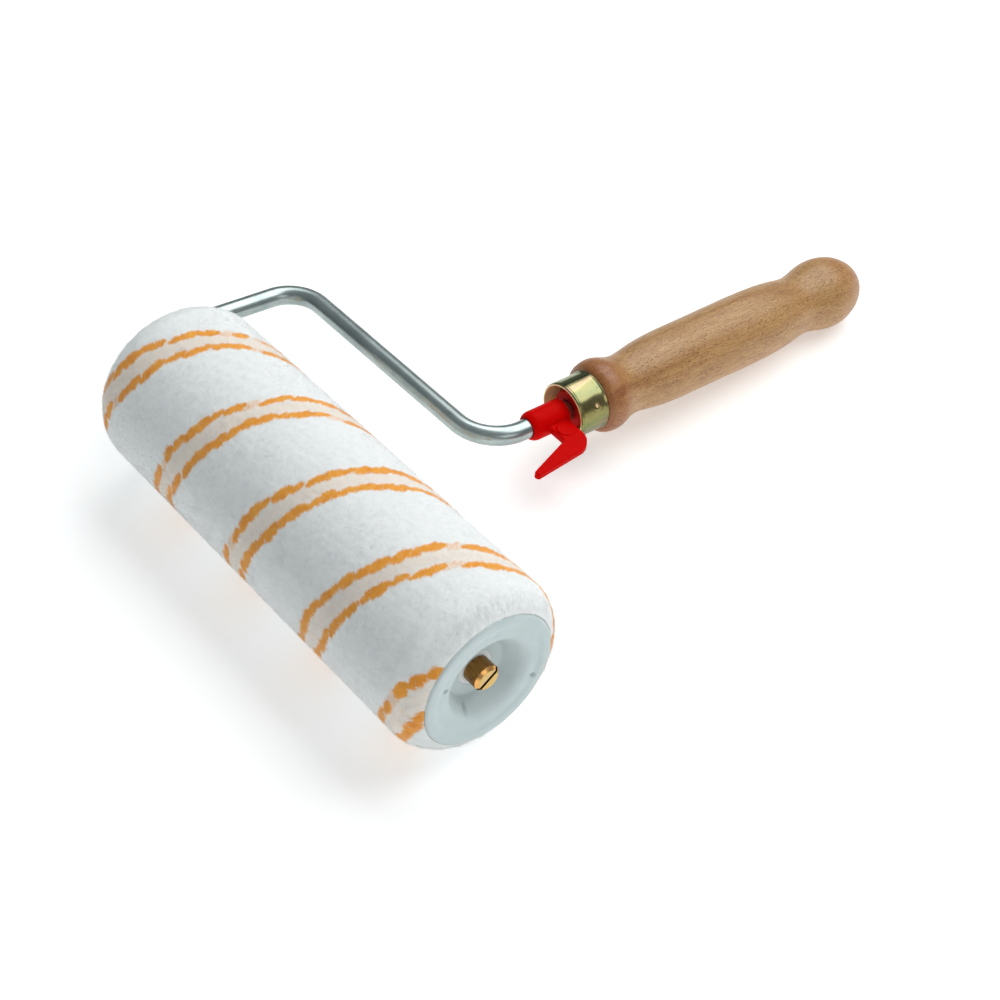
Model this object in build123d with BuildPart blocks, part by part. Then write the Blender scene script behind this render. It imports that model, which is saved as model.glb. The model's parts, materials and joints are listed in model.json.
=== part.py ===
from build123d import *
from math import asin, cos, degrees, hypot, radians, sin
import os

os.makedirs("parts", exist_ok=True)

# ---------------------------------------------------------------- driving dimensions (mm)
# Bench frame: X runs along the roller axis, Y along the handle, Z is normal to the wire frame.
# The roller axis is y = 0 and the handle axis is x = 0.

# wire frame
wire_d = 8.0
run_y = 75.5                # the run that lies parallel to the roller
arm_x = -122.9              # where the side arm meets the run
arm_foot_x = -127.7         # where the side arm meets the axle line
arm_bend = 15.0             # centre-line bend radii
shank_bend = 17.5
tang_end = 112.0            # end of the wire inside the handle, from the run
shoulder_x = 88.1           # where the wire steps down to the thread
thread_d = 6.0
thread_length = 5.6
thread_chamfer = 0.6

# roller
rim_near = 95.9
rim_far = -104.3
pile_r = 35.2
backing_r = 25.2
tube_r = 24.0
tube_bore_r = 22.3
running_gap = 0.05          # radial clearance of what turns on the wire
pile_lip = 0.7              # how far the pile stands back from the rim plane
pile_seat = 0.1             # radial gap between the cap's rim and the pile
shoulder_depth = 10.5       # length of the rounded shoulder at each end
shoulder_bulge = (4.4, 32.1)    # depth and radius of the shoulder's middle

# end caps, given as radii and as depths behind the rim plane
cap_r = 27.2
rim_rounding = 1.1
rim_flat_r = 23.4           # where the flat rim turns into the dish
dish_r = 18.5
dish_depth = 0.35
dish_turn = (15.8, 1.15)    # middle of the turn from the dish into the funnel
funnel_top = (14.05, 3.05)
funnel_foot = (12.0, 6.9)
floor_turn = (11.3, 7.75)
floor_r = 10.3
flange = 1.8
spigot_bore_r = 20.5
spigot_depth = 14.0
spigot_lead = (0.4, 1.5)    # taper that guides the spigot into the tube
hub_depth = 8.1
hub_end = 22.0
hub_r = 9.0
bush_r = 7.0
cap_web = 2.3               # wall behind the dish and the funnel

# axle stop at the arm end
axial_play = 0.3
washer_thickness = 1.0
ring_length = 3.0
ring_r = 6.2
ring_chamfer = 0.5

# slotted nut
nut_r = 5.2
nut_end = 95.0
nut_chamfer = 1.1
slot_width = 1.3
slot_depth = 1.25
slot_angle = 38.0           # from +Y towards +Z

# handle hardware, given as distance along the handle from the run
ferrule_front = 38.4
ferrule_rear = 52.3
ferrule_r = 11.9
ferrule_flare_r = 12.25
ferrule_wall = 1.0
ferrule_lip_r = 0.65        # rolled front edge
flare_length = 4.0
flare_edge = 0.2
tenon_face = 46.5
stake_t = 47.1
stake_angle = 59.5          # from +Z towards +X, and again on the other side
stake_r = 1.6
stake_depth = 0.65
stake_taper = 35
plug_front = 41.4
plug_r = 7.7
plug_stem_r = 6.0
plug_end = 62.0
plug_rounding = 0.4
bulb_t = 183.5
bulb_r = 15.15
handle_end = 204.0
handle_nose = (52.9, 13.4)
handle_nose_face_r = 12.7
handle_collar = (57.8, 15.1)
handle_collar_front = (54.6, 14.6)

# Turned outline of the handle between the bulb and the collar: distance from the run, radius.
handle_outline = (
    (176.5, 14.1),
    (167.5, 12.6),
    (160.0, 13.45),
    (149.0, 14.6),
    (128.0, 14.95),
    (104.0, 14.8),
    (87.0, 14.4),
    (77.0, 13.2),
    (69.5, 12.5),
    (63.5, 13.7),
)

# bucket hook
sleeve_start = 20.3
sleeve_end = 38.0
sleeve_r = 6.0
sleeve_nose = ((0.0, 4.6), (1.1, 5.5), (3.6, 6.0))    # depth behind the front end, radius
sleeve_chamfer = 0.5
hook_thickness = 3.0
hook_rounding = 0.6
root_start = 27.1
root_end = 36.3
boss_x = 10.4
boss_t = 31.4
boss_r = 3.8
boss_height = 0.5

# Corners of the flat hook: distance from the shank's axis, distance along it, corner radius.
hook_corners = (
    (14.6, 26.7, 1.0),
    (22.0, 6.6, 1.4),
    (22.8, 4.7, 1.2),
    (25.2, 5.4, 1.3),
    (22.6, 31.4, 7.5),
    (17.6, 36.1, 7.5),
)

# ---------------------------------------------------------------- resting pose
# The tool lies on the roller's pile and on the bulb at the end of the handle.
wire_r = wire_d / 2
tilt = asin((pile_r - bulb_r) / (run_y + bulb_t))
bulb_length = handle_end - bulb_t
reach_y = (run_y + bulb_t) * cos(tilt) + hypot(bulb_length * cos(tilt), bulb_r * sin(tilt))
arm_lean = asin((arm_x - arm_foot_x) / run_y)
bend_centre_x = arm_foot_x + arm_bend * (1 + sin(arm_lean)) / cos(arm_lean)
leftmost_x = bend_centre_x - arm_bend - wire_r
bench = Plane(
    origin=(-(rim_near + leftmost_x) / 2, -(reach_y - pile_r) / 2, pile_r),
    x_dir=(1, 0, 0),
    z_dir=(0, sin(tilt), cos(tilt)),
)


def spot(x, y, z=0.0):
    """A point of the bench frame, in the part's frame."""
    return bench.from_local_coords(Vector(x, y, z))


# Section planes: local x runs along the axis and local y is the radius.
roller_section = Plane(origin=spot(0, 0), x_dir=bench.x_dir, z_dir=-bench.y_dir)
handle_section = Plane(origin=spot(0, run_y), x_dir=bench.y_dir, z_dir=bench.x_dir)
roller_axis = Axis(spot(0, 0), bench.x_dir)
handle_axis = Axis(spot(0, run_y), bench.y_dir)


def across_roller(x):
    """A plane square to the roller axis, facing the free end."""
    return Plane(origin=spot(x, 0), x_dir=bench.y_dir, z_dir=bench.x_dir)


def across_handle(t):
    """A plane square to the handle axis, facing the handle's end."""
    return Plane(origin=spot(0, run_y + t), x_dir=bench.z_dir, z_dir=bench.y_dir)


def save(piece, label):
    piece.part.label = label
    export_step(piece.part, f"parts/{label}.step")


# ---------------------------------------------------------------- wire frame
with BuildPart() as frame_rod:
    with BuildLine(bench) as route:
        FilletPolyline(
            (shoulder_x, 0),
            (arm_foot_x, 0),
            (arm_x, run_y),
            (0, run_y),
            (0, run_y + tang_end),
            radius=[arm_bend, arm_bend, shank_bend],
        )
    with BuildSketch(Plane(origin=route.line @ 0, z_dir=route.line % 0)):
        Circle(wire_r)
    sweep(path=route.line)
    with BuildSketch(across_roller(shoulder_x)):
        Circle(thread_d / 2)
    extrude(amount=thread_length)
    tips = frame_rod.edges().filter_by(GeomType.CIRCLE).group_by(Axis.X)[-1]
    chamfer(tips, thread_chamfer)
save(frame_rod, "frame_rod")

# ---------------------------------------------------------------- slotted sleeve nut
with BuildPart() as axle_nut:
    with BuildSketch(across_roller(shoulder_x)):
        Circle(nut_r)
    extrude(amount=nut_end - shoulder_x)
    nut_face = axle_nut.faces().sort_by(Axis.X)[-1]
    chamfer(nut_face.edges(), nut_chamfer)
    with BuildSketch(across_roller(shoulder_x)):
        Circle(thread_d / 2)
    extrude(amount=thread_length, mode=Mode.SUBTRACT)
    slot_plane = Plane(
        origin=spot(nut_end, 0),
        x_dir=bench.y_dir * cos(radians(slot_angle)) + bench.z_dir * sin(radians(slot_angle)),
        z_dir=-bench.x_dir,
    )
    with BuildSketch(slot_plane):
        Rectangle(2 * nut_r + wire_d, slot_width)
    extrude(amount=slot_depth, mode=Mode.SUBTRACT)
save(axle_nut, "axle_nut")


def tube_between(start_x, end_x, outer_r, inner_r):
    """A plain ring or tube on the roller axis."""
    with BuildPart() as ring:
        with BuildSketch(across_roller(start_x)):
            Circle(outer_r)
            Circle(inner_r, mode=Mode.SUBTRACT)
        extrude(amount=end_x - start_x)
    return ring


# ---------------------------------------------------------------- axle stop at the arm end
far_bush_face = rim_far + hub_depth
washer_x = far_bush_face - axial_play - washer_thickness
thrust_washer = tube_between(washer_x, washer_x + washer_thickness, bush_r, wire_r)
save(thrust_washer, "thrust_washer")

with BuildPart() as stop_ring:
    with BuildSketch(across_roller(washer_x - ring_length)):
        Circle(ring_r)
        Circle(wire_r, mode=Mode.SUBTRACT)
    extrude(amount=ring_length)
    chamfer(stop_ring.edges().group_by(Axis.X)[0].sort_by(SortBy.LENGTH)[-1], ring_chamfer)
save(stop_ring, "stop_ring")

# ---------------------------------------------------------------- end caps and their bushes


def end_cap(rim_x, inward):
    """A trumpet-shaped cap with a spigot for the tube and a hub for the bush."""

    def point(radius, depth):
        return (rim_x + inward * depth, radius)

    spigot_r = tube_bore_r
    with BuildPart() as cap:
        with BuildSketch(roller_section):
            with BuildLine():
                rim_edge = point(cap_r, rim_rounding)
                rim_front = point(cap_r - rim_rounding, 0)
                RadiusArc(rim_edge, rim_front, inward * rim_rounding)
                Polyline(rim_front, point(rim_flat_r, 0), point(dish_r, dish_depth))
                ThreePointArc(point(dish_r, dish_depth), point(*dish_turn), point(*funnel_top))
                Line(point(*funnel_top), point(*funnel_foot))
                ThreePointArc(point(*funnel_foot), point(*floor_turn), point(floor_r, hub_depth))
                Polyline(
                    point(floor_r, hub_depth),
                    point(bush_r, hub_depth),
                    point(bush_r, hub_end),
                    point(hub_r, hub_end),
                    point(hub_r, hub_depth + cap_web),
                    point(funnel_foot[0] + cap_web, hub_depth),
                    point(dish_turn[0] + cap_web, funnel_top[1]),
                    point(spigot_bore_r, cap_web),
                    point(spigot_bore_r, spigot_depth),
                    point(spigot_r - spigot_lead[0], spigot_depth),
                    point(spigot_r, spigot_depth - spigot_lead[1]),
                    point(spigot_r, flange),
                    point(cap_r, flange),
                    rim_edge,
                )
            make_face()
        revolve(axis=roller_axis)
    return cap


end_cap_near = end_cap(rim_near, -1)
save(end_cap_near, "end_cap_near")
end_cap_far = end_cap(rim_far, 1)
save(end_cap_far, "end_cap_far")

bush_bore_r = wire_r + running_gap
bush_near = tube_between(rim_near - hub_end, rim_near - hub_depth, bush_r, bush_bore_r)
save(bush_near, "bush_near")
bush_far = tube_between(rim_far + hub_depth, rim_far + hub_end, bush_r, bush_bore_r)
save(bush_far, "bush_far")

# ---------------------------------------------------------------- core tube, backing and pile
tube_start = rim_far + flange
tube_end = rim_near - flange
core_tube = tube_between(tube_start, tube_end, tube_r, tube_bore_r)
save(core_tube, "core_tube")
cover_backing = tube_between(tube_start, tube_end, backing_r, tube_r)
save(cover_backing, "cover_backing")


def shoulder(rim_x, inward):
    """The rounded end of the pile, from the backing out to the full radius."""
    seat_r = cap_r + pile_seat
    lip_x = rim_x + inward * pile_lip
    flange_x = rim_x + inward * flange
    Polyline((flange_x, backing_r), (flange_x, seat_r), (lip_x, seat_r))
    ThreePointArc(
        (lip_x, seat_r),
        (rim_x + inward * shoulder_bulge[0], shoulder_bulge[1]),
        (rim_x + inward * shoulder_depth, pile_r),
    )


with BuildPart() as pile_cover:
    with BuildSketch(roller_section):
        with BuildLine():
            shoulder(rim_near, -1)
            shoulder(rim_far, 1)
            Line((rim_near - shoulder_depth, pile_r), (rim_far + shoulder_depth, pile_r))
            Line((tube_start, backing_r), (tube_end, backing_r))
        make_face()
    revolve(axis=roller_axis)
save(pile_cover, "pile_cover")

# ---------------------------------------------------------------- turned wooden handle
collar_lie = (-1, 0.02)
nose_lie = (-0.4, -1)
with BuildPart() as handle:
    with BuildSketch(handle_section):
        with BuildLine():
            Polyline(
                handle_nose,
                (ferrule_rear, handle_nose_face_r),
                (ferrule_rear, ferrule_r - ferrule_wall),
                (tenon_face, ferrule_r - ferrule_wall),
                (tenon_face, 0),
                (handle_end, 0),
            )
            EllipticalCenterArc((bulb_t, 0), bulb_length, bulb_r, start_angle=0, arc_size=90)
            Spline(
                (bulb_t, bulb_r),
                *handle_outline,
                handle_collar,
                tangents=((-1, 0), collar_lie),
            )
            Spline(
                handle_collar,
                handle_collar_front,
                handle_nose,
                tangents=(collar_lie, nose_lie),
            )
        make_face()
    revolve(axis=handle_axis)
    with BuildSketch(across_handle(tenon_face)):
        Circle(wire_r)
    extrude(amount=tang_end - tenon_face, mode=Mode.SUBTRACT)
    with BuildSketch(across_handle(tenon_face)):
        Circle(plug_stem_r)
    extrude(amount=plug_end - tenon_face, mode=Mode.SUBTRACT)
save(handle, "handle")

# ---------------------------------------------------------------- ferrule
lip_t = ferrule_front + ferrule_lip_r
ferrule_bore_r = ferrule_r - ferrule_wall
with BuildPart() as ferrule:
    with BuildSketch(handle_section):
        with Locations((lip_t, ferrule_r - ferrule_lip_r)):
            Circle(ferrule_lip_r)
        with BuildLine():
            Polyline(
                (lip_t, ferrule_bore_r),
                (ferrule_rear, ferrule_bore_r),
                (ferrule_rear, ferrule_flare_r - flare_edge),
                (ferrule_rear - flare_edge, ferrule_flare_r),
                (ferrule_rear - flare_length, ferrule_r),
                (lip_t, ferrule_r),
                close=True,
            )
        make_face()
    revolve(axis=handle_axis)
    for side in (0, 180):
        turn = radians(stake_angle + side)
        outward = bench.z_dir * cos(turn) + bench.x_dir * sin(turn)
        stake_plane = Plane(
            origin=spot(0, run_y + stake_t) + outward * (ferrule_flare_r - flare_edge),
            z_dir=-outward,
        )
        with BuildSketch(stake_plane):
            Circle(stake_r)
        extrude(amount=stake_depth + flare_edge, taper=stake_taper, mode=Mode.SUBTRACT)
save(ferrule, "ferrule")

# ---------------------------------------------------------------- plug that centres the shank
with BuildPart() as ferrule_plug:
    with BuildSketch(across_handle(plug_front)):
        Circle(plug_r)
    extrude(amount=tenon_face - plug_front)
    fillet(ferrule_plug.edges().group_by(Axis.Y)[0], plug_rounding)
    with BuildSketch(across_handle(tenon_face)):
        Circle(plug_stem_r)
    extrude(amount=plug_end - tenon_face)
    with BuildSketch(across_handle(plug_front)):
        Circle(wire_r)
    extrude(amount=plug_end - plug_front, mode=Mode.SUBTRACT)
save(ferrule_plug, "ferrule_plug")

# ---------------------------------------------------------------- bucket hook
with BuildPart() as bucket_hook:
    with BuildSketch(bench.offset(-hook_thickness / 2)):
        with BuildLine():
            FilletPolyline(
                (0, run_y + root_start),
                *[(x, run_y + t) for x, t, corner in hook_corners],
                (0, run_y + root_end),
                radius=[corner for x, t, corner in hook_corners],
            )
            Line((0, run_y + root_end), (0, run_y + root_start))
        make_face()
    extrude(amount=hook_thickness)
    flats = bucket_hook.faces().filter_by(Axis(bench.origin, bench.z_dir))
    fillet(flats.edges(), hook_rounding)
    with BuildSketch(bench.offset(-hook_thickness / 2 - boss_height)):
        with Locations((boss_x, run_y + boss_t)):
            Circle(boss_r)
    extrude(amount=hook_thickness + 2 * boss_height)
    nose = [(sleeve_start + depth, radius) for depth, radius in sleeve_nose]
    with BuildSketch(handle_section):
        with BuildLine():
            Line((sleeve_start, 0), nose[0])
            ThreePointArc(*nose)
            Polyline(
                nose[-1],
                (sleeve_end - sleeve_chamfer, sleeve_r),
                (sleeve_end, sleeve_r - sleeve_chamfer),
                (sleeve_end, 0),
                (sleeve_start, 0),
            )
        make_face()
    revolve(axis=handle_axis)
    with BuildSketch(across_handle(sleeve_start)):
        Circle(wire_r + running_gap)
    extrude(amount=sleeve_end - sleeve_start, mode=Mode.SUBTRACT)
save(bucket_hook, "bucket_hook")
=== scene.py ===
"""A paint roller with a plush cover, a bent wire frame, a bucket hook and a beech handle."""

import json
import math

import bmesh
import bpy
import numpy as np
from mathutils import Matrix, Vector


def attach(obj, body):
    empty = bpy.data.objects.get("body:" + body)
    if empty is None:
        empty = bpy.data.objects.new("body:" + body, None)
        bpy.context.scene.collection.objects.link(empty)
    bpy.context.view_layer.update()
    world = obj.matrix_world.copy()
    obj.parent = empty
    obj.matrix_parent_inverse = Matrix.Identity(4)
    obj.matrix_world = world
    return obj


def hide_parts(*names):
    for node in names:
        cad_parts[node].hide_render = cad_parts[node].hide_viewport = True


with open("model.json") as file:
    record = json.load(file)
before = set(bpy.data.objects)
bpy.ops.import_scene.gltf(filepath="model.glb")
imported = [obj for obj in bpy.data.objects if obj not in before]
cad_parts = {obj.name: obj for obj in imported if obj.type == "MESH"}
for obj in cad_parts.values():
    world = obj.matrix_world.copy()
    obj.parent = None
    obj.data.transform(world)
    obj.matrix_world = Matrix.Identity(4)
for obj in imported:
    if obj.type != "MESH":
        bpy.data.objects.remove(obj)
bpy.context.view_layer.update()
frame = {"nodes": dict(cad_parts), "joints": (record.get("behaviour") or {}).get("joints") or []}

# ---------------------------------------------------------------- bench frame, in millimetres
# X runs along the roller's axis, Y along the handle's, and Z is normal to the wire frame.
# The roller's axis is y = 0, z = 0 and the handle's is x = 0, z = 0.
MM = 0.001
JOINTS = {joint["name"]: joint for joint in frame["joints"]}
ORIGIN = np.array(JOINTS["roller_spin"]["pos_m"], float)
ROLLER_DIR = np.array(JOINTS["roller_spin"]["axis"], float)
HANDLE_DIR = np.array(JOINTS["hook_swivel"]["axis"], float)
BENCH = np.array([ROLLER_DIR, HANDLE_DIR, np.cross(ROLLER_DIR, HANDLE_DIR)])


def to_row(points):
    """Bench millimetres to metres in the row frame."""
    return ORIGIN + MM * np.asarray(points, float) @ BENCH


def to_bench(points):
    """Metres in the row frame to bench millimetres."""
    return (np.asarray(points, float) - ORIGIN) @ BENCH.T / MM


def vertices_of(mesh):
    """A mesh's vertices, in metres."""
    flat = np.empty(len(mesh.vertices) * 3)
    mesh.vertices.foreach_get("co", flat)
    return flat.reshape(-1, 3)


def cad_points(node):
    """A CAD node's vertices, in bench millimetres."""
    return to_bench(vertices_of(frame["nodes"][node].data))


def cad_span(node, axis):
    """Where a CAD node starts and ends along a bench axis."""
    values = cad_points(node)[:, axis]
    return values.min(), values.max()


def cad_radius(node, axis):
    """The largest radius of a turned CAD node about the roller's axis (0) or the handle's (1)."""
    return np.hypot(*np.delete(cad_points(node), axis, axis=1).T).max()


X, Y, Z = 0, 1, 2

# ---------------------------------------------------------------- sizes (mm)
FAR_RIM, NEAR_RIM = cad_span("end_cap_far", X)[0], cad_span("end_cap_near", X)[1]
CAP_R = cad_radius("end_cap_near", X)
PILE_R = cad_radius("pile_cover", X)
PILE_START, PILE_END = cad_span("pile_cover", X)
BACKING_START, BACKING_END = cad_span("cover_backing", X)
BACKING_R = cad_radius("cover_backing", X)
WIRE_R = cad_span("frame_rod", Z)[1]
TANG_END = cad_span("frame_rod", Y)[1]

# wire frame: corners of its centre line and the radius of each bend
RUN_Y = 75.5
ARM_BEND = 15.0
SHANK_BEND = 17.5
WIRE_CORNERS = (
    (88.1, 0.0, 0.0),
    (-127.7, 0.0, ARM_BEND),
    (-122.9, RUN_Y, ARM_BEND),
    (0.0, RUN_Y, SHANK_BEND),
    (0.0, TANG_END, 0.0),
)
WIRE_END_TAPER = 0.6

# slotted nut and bushes
NUT_SLOT_WIDTH = 1.35
NUT_SLOT_DEPTH = 1.7
NUT_SLOT_ANGLE = 38.0
NUT_CHAMFER = 1.15
RUNNING_GAP = 0.05
BUSH_R = cad_radius("bush_near", X)

# end caps, given as radii and as depths behind the rim plane
CAP_FLANGE = 1.8
CAP_WEB = 2.3               # wall behind the dish
FUNNEL_DEPTH = 8.1
HUB_END = 22.0
HUB_R = 9.0
SPIGOT_DEPTH = 14.0
SPIGOT_R = 22.3
SPIGOT_BORE_R = 20.5

# Mould marks in a cap's face: radius, angle from Y towards Z, depth, half width, radial stretch.
CAP_MARKS = (
    (19.6, 163.0, 1.2, 1.25, 1.25),
    (22.3, 335.0, 1.2, 1.25, 1.25),
    (14.6, 242.0, 1.8, 1.3, 1.5),
)

# pile
LIP_R = CAP_R + 0.15
SHOULDER_LENGTH = 9.8       # from the pile's end to its full radius
SHOULDER_MIDDLE = (3.7, 32.1)   # distance from the pile's end, and radius
ROOT_DEPTH = 0.35           # from the tips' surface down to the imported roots

# pile's stripes
STRIPE_PITCH = 47.0         # from one pair of stripes to the next
STRIPE_LEAD = 94.0          # advance of each stripe in one turn
STRIPE_GAP = 10.2           # between the two stripes of a pair
STRIPE_X = 1.5              # where one pair crosses STRIPE_ANGLE
STRIPE_ANGLE = 140.0
STRIPE_WIDTH = 3.6
STRIPE_EDGE = 0.65          # over which a stripe fades out
STRIPE_RAGGED = 0.42
BLUSH_SPREAD = 3.4          # how far the blush reaches past a pair of stripes
DASH_LENGTH = 6.4
DASH_SLANT = 0.23

# pile's fibres, with their leans given in degrees from the surface's normal
FIBRE_BATCHES = 4
FIBRES_EACH = 60000
FIBRE_LENGTHS = (0.8, 1.5)
FIBRE_WIDTHS = (0.08, 0.14)
FIBRE_LEANS = (44, 78)
COMBED_FIBRES = 3500
COMBED_LENGTHS = (1.6, 3.0)
COMBED_WIDTHS = (0.07, 0.13)
COMBED_LEANS = (42, 84)

# ferrule and plug
FERRULE_R = 11.9
FERRULE_BORE_R = 10.9
SEAM_ANGLE = -8.0           # from Z towards X, as the stakes are
STAKE_Y = RUN_Y + 47.1
STAKE_ANGLE = 59.5
TENON_Y = RUN_Y + 46.5      # the handle's end inside the ferrule
TENON_R = 10.85
HANDLE_FACE_R = 12.6        # of the handle's face against the ferrule's rear edge
PLUG_STEM_R = 6.0

# ---------------------------------------------------------------- outlines


def rounded(corners, arc_step=12.0):
    """The outline through corners (a, b, rounding), each one turned by an arc of that radius."""
    places = np.array([corner[:2] for corner in corners], float)
    outline = [places[0]]
    for before, place, after, corner in zip(places, places[1:], places[2:], corners[1:]):
        inward = (before - place) / np.linalg.norm(before - place)
        outward = (after - place) / np.linalg.norm(after - place)
        half_turn = (math.pi - math.acos(np.clip(inward @ outward, -1, 1))) / 2
        if corner[2] * half_turn < 1e-4:
            outline.append(place)
            continue
        reach = corner[2] * math.tan(half_turn)
        steps = max(2, math.ceil(math.degrees(2 * half_turn) / arc_step))
        for part in np.linspace(0, 1, steps + 1):
            weights = np.array([(1 - part) ** 2, 2 * math.cos(half_turn) * part * (1 - part), part**2])
            arc = weights @ np.array([place + reach * inward, place, place + reach * outward])
            outline.append(arc / weights.sum())
    outline.append(places[-1])
    return np.array(outline)


def divided(outline, step):
    """The same outline with no stretch longer than step."""
    points = [outline[0]]
    for start, end in zip(outline, outline[1:]):
        parts = max(1, math.ceil(np.linalg.norm(end - start) / step))
        points += [start + (end - start) * part / parts for part in range(1, parts + 1)]
    return np.array(points)


def softened(outline, step, spread):
    """An outline evenly resampled at step and smoothed over spread, with its ends held."""
    lengths = np.r_[0, np.cumsum(np.linalg.norm(np.diff(outline, axis=0), axis=1))]
    stations = np.linspace(0, lengths[-1], math.ceil(lengths[-1] / step))
    even = np.stack([np.interp(stations, lengths, outline[:, k]) for k in (0, 1)], axis=1)
    reach = math.ceil(3 * spread / step)
    kernel = np.exp(-0.5 * (np.arange(-reach, reach + 1) * step / spread) ** 2)
    kernel /= kernel.sum()
    padded = np.vstack([2 * even[0] - even[reach:0:-1], even, 2 * even[-1] - even[-2 : -reach - 2 : -1]])
    return np.stack([np.convolve(padded[:, k], kernel, mode="valid") for k in (0, 1)], axis=1)


# ---------------------------------------------------------------- mesh making


def lathe(axis, outline, segments):
    """Points and faces of a closed (along, radius) outline turned about the roller's or handle's axis."""
    along, radius = np.asarray(outline, float)[:, :, None].transpose(1, 0, 2)
    turns = np.arange(segments) * 2 * math.pi / segments
    first, second = radius * np.cos(turns), radius * np.sin(turns)
    along = along + 0 * turns
    columns = (along, first, second) if axis == X else (second, along, first)
    points = np.stack(columns, axis=-1).reshape(-1, 3)
    rings = len(outline)
    ring = np.arange(rings)[:, None] * segments
    ring_next = (np.arange(rings)[:, None] + 1) % rings * segments
    step = np.arange(segments)[None, :]
    step_next = (step + 1) % segments
    faces = np.stack([ring + step, ring_next + step, ring_next + step_next, ring + step_next], axis=-1)
    return points, faces.reshape(-1, 4).tolist()


def new_mesh(name, points, faces):
    """A clean mesh in the row frame, with its normals outwards, from bench points and faces."""
    mesh = bpy.data.meshes.new(name)
    mesh.from_pydata(to_row(points).tolist(), [], faces)
    work = bmesh.new()
    work.from_mesh(mesh)
    bmesh.ops.remove_doubles(work, verts=work.verts, dist=1e-6)
    bmesh.ops.dissolve_degenerate(work, dist=1e-7, edges=work.edges)
    bmesh.ops.recalc_face_normals(work, faces=work.faces)
    work.to_mesh(mesh)
    work.free()
    mesh.update()
    return mesh


def new_object(name, mesh):
    """An object in the scene that shows the mesh."""
    piece = bpy.data.objects.new(name, mesh)
    bpy.context.scene.collection.objects.link(piece)
    return piece


def with_modifiers(piece, *modifiers):
    """Replaces the piece's mesh with what these modifiers, (kind, settings) pairs, make of it."""
    for kind, settings in modifiers:
        modifier = piece.modifiers.new(kind.lower(), kind)
        for setting, value in settings.items():
            setattr(modifier, setting, value)
    bpy.context.view_layer.update()
    shaped = piece.evaluated_get(bpy.context.evaluated_depsgraph_get())
    mesh = bpy.data.meshes.new_from_object(shaped)
    piece.modifiers.clear()
    piece.data = mesh


def note_bench(mesh):
    """Stores each vertex's place in bench millimetres, which the materials read."""
    places = mesh.attributes.get("bench") or mesh.attributes.new("bench", "FLOAT_VECTOR", "POINT")
    places.data.foreach_set("vector", to_bench(vertices_of(mesh)).astype(np.float32).ravel())


def finish_piece(piece, body, material, stands_for, sharp_angle=35.0):
    """Shades and paints a piece that stands for a CAD node, parents it to its body and hides that node.
    """
    piece.data.shade_smooth()
    if sharp_angle:
        piece.data.set_sharp_from_angle(angle=math.radians(sharp_angle))
    note_bench(piece.data)
    piece.data.materials.clear()
    piece.data.materials.append(material)
    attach(piece, body)
    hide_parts(stands_for)


def turned(name, axis, corners, segments, step=None, arc_step=12.0):
    """A turned piece from the corners of its closed outline."""
    outline = rounded([*corners, corners[0]], arc_step)[:-1]
    if step:
        outline = divided(np.vstack([outline, outline[:1]]), step)[:-1]
    return new_object(name, new_mesh(name, *lathe(axis, outline, segments)))


def bumps(points, wavelength, seed):
    """Smooth noise of about -1 to 1 with features of that size, from sums of seeded waves."""
    draw = np.random.default_rng(seed)
    total = np.zeros(len(points))
    waves = 18
    for _ in range(waves):
        direction = draw.normal(size=3)
        direction *= draw.uniform(0.6, 1.5) / np.linalg.norm(direction)
        total += np.sin(points @ direction * 2 * math.pi / wavelength + draw.uniform(0, 2 * math.pi))
    return total * math.sqrt(2 / waves) / 2


def smooth_step(value):
    """An eased ramp from 0 to 1, flat outside them."""
    part = np.clip(value, 0, 1)
    return part * part * (3 - 2 * part)


# ---------------------------------------------------------------- materials


def colour(red, green, blue):
    """A display colour out of 255 as scene-linear values."""
    shares = np.array([red, green, blue]) / 255
    linear = np.where(shares <= 0.04045, shares / 12.92, ((shares + 0.055) / 1.055) ** 2.4)
    return (*linear.tolist(), 1.0)


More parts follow.
